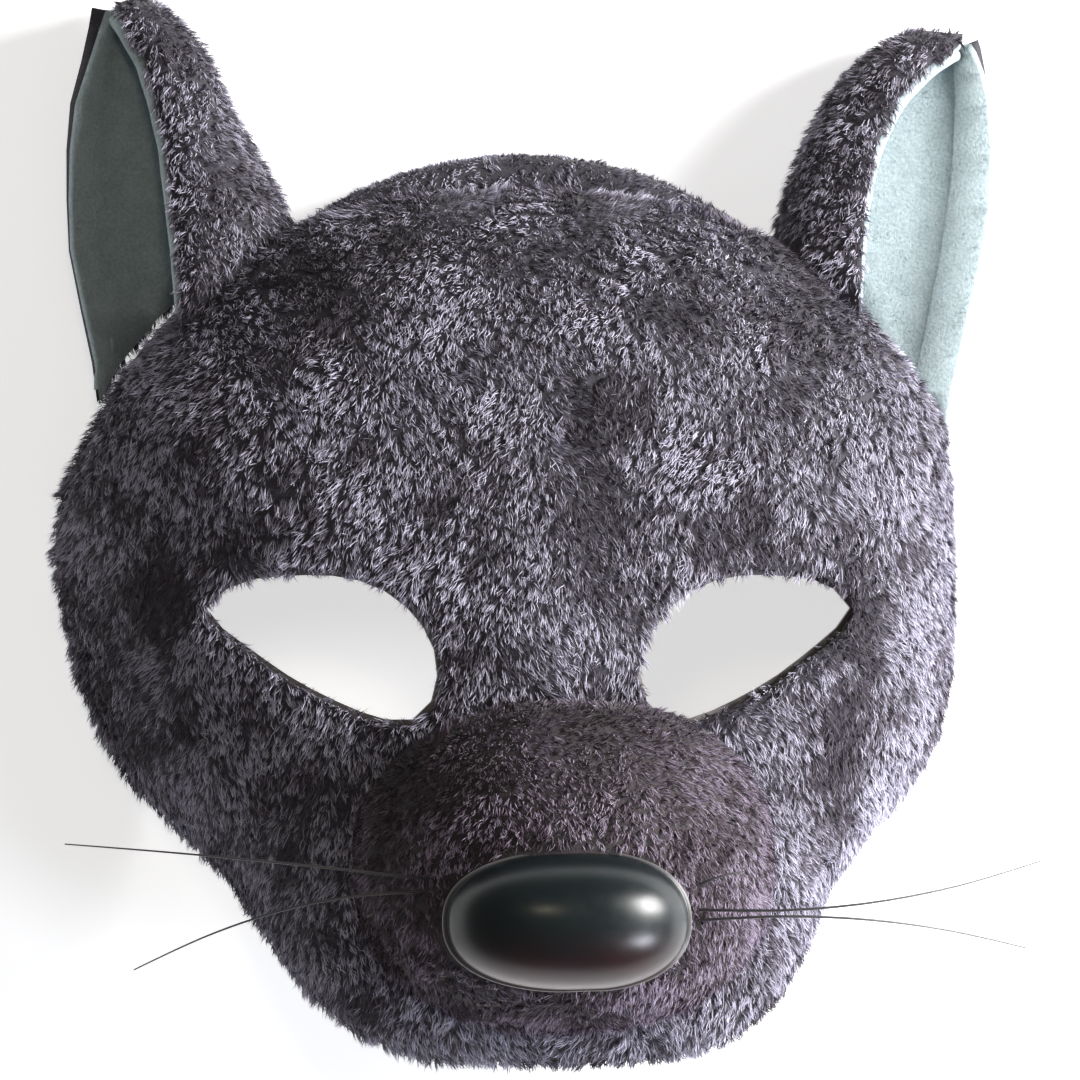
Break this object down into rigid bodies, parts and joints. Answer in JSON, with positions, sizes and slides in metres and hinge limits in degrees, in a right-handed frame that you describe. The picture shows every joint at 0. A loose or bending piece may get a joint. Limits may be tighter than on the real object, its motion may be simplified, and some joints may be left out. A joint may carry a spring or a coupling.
{
  "type": "plush rat mask on a headband",
  "caption": "Plush half-face rat mask with domed muzzle, glossy nose, cupped felt ears, whiskers and eye holes, on a hoop headband.",
  "frame": {"origin": "middle of the underside of the part's box, on the surface that the mask lies on", "axes": "+Z the way the nose points, +Y from the chin towards the ears, +X the viewer's right"},
  "size_m": [0.1872, 0.2052, 0.0982],
  "materials": {
    "moulded_base": "matte moulded shell, grey-brown",
    "face_plush": "short salt-and-pepper purple-grey plush",
    "muzzle_plush": "short dark plum-brown plush with grey tips",
    "ear_plush": "short salt-and-pepper purple-grey plush",
    "ear_felt": "pale blue-grey napped felt",
    "band_plush": "short purple-grey plush",
    "nose_gloss": "glossy black moulded button",
    "nylon_bristle": "thin drawn bristle, slightly shiny"
  },
  "bodies": {
    "root": {"face_base": "moulded_base", "face_fur": "face_plush", "muzzle_fur": "muzzle_plush", "nose": "nose_gloss", "ear_left_fur": "ear_plush", "ear_left_felt": "ear_felt", "ear_right_fur": "ear_plush", "ear_right_felt": "ear_felt", "headband": "band_plush", "whisker_left_upper": "nylon_bristle", "whisker_left_lower": "nylon_bristle", "whisker_right_upper": "nylon_bristle", "whisker_right_lower": "nylon_bristle", "whisker_right_short": "nylon_bristle"}
  },
  "joints": []
}
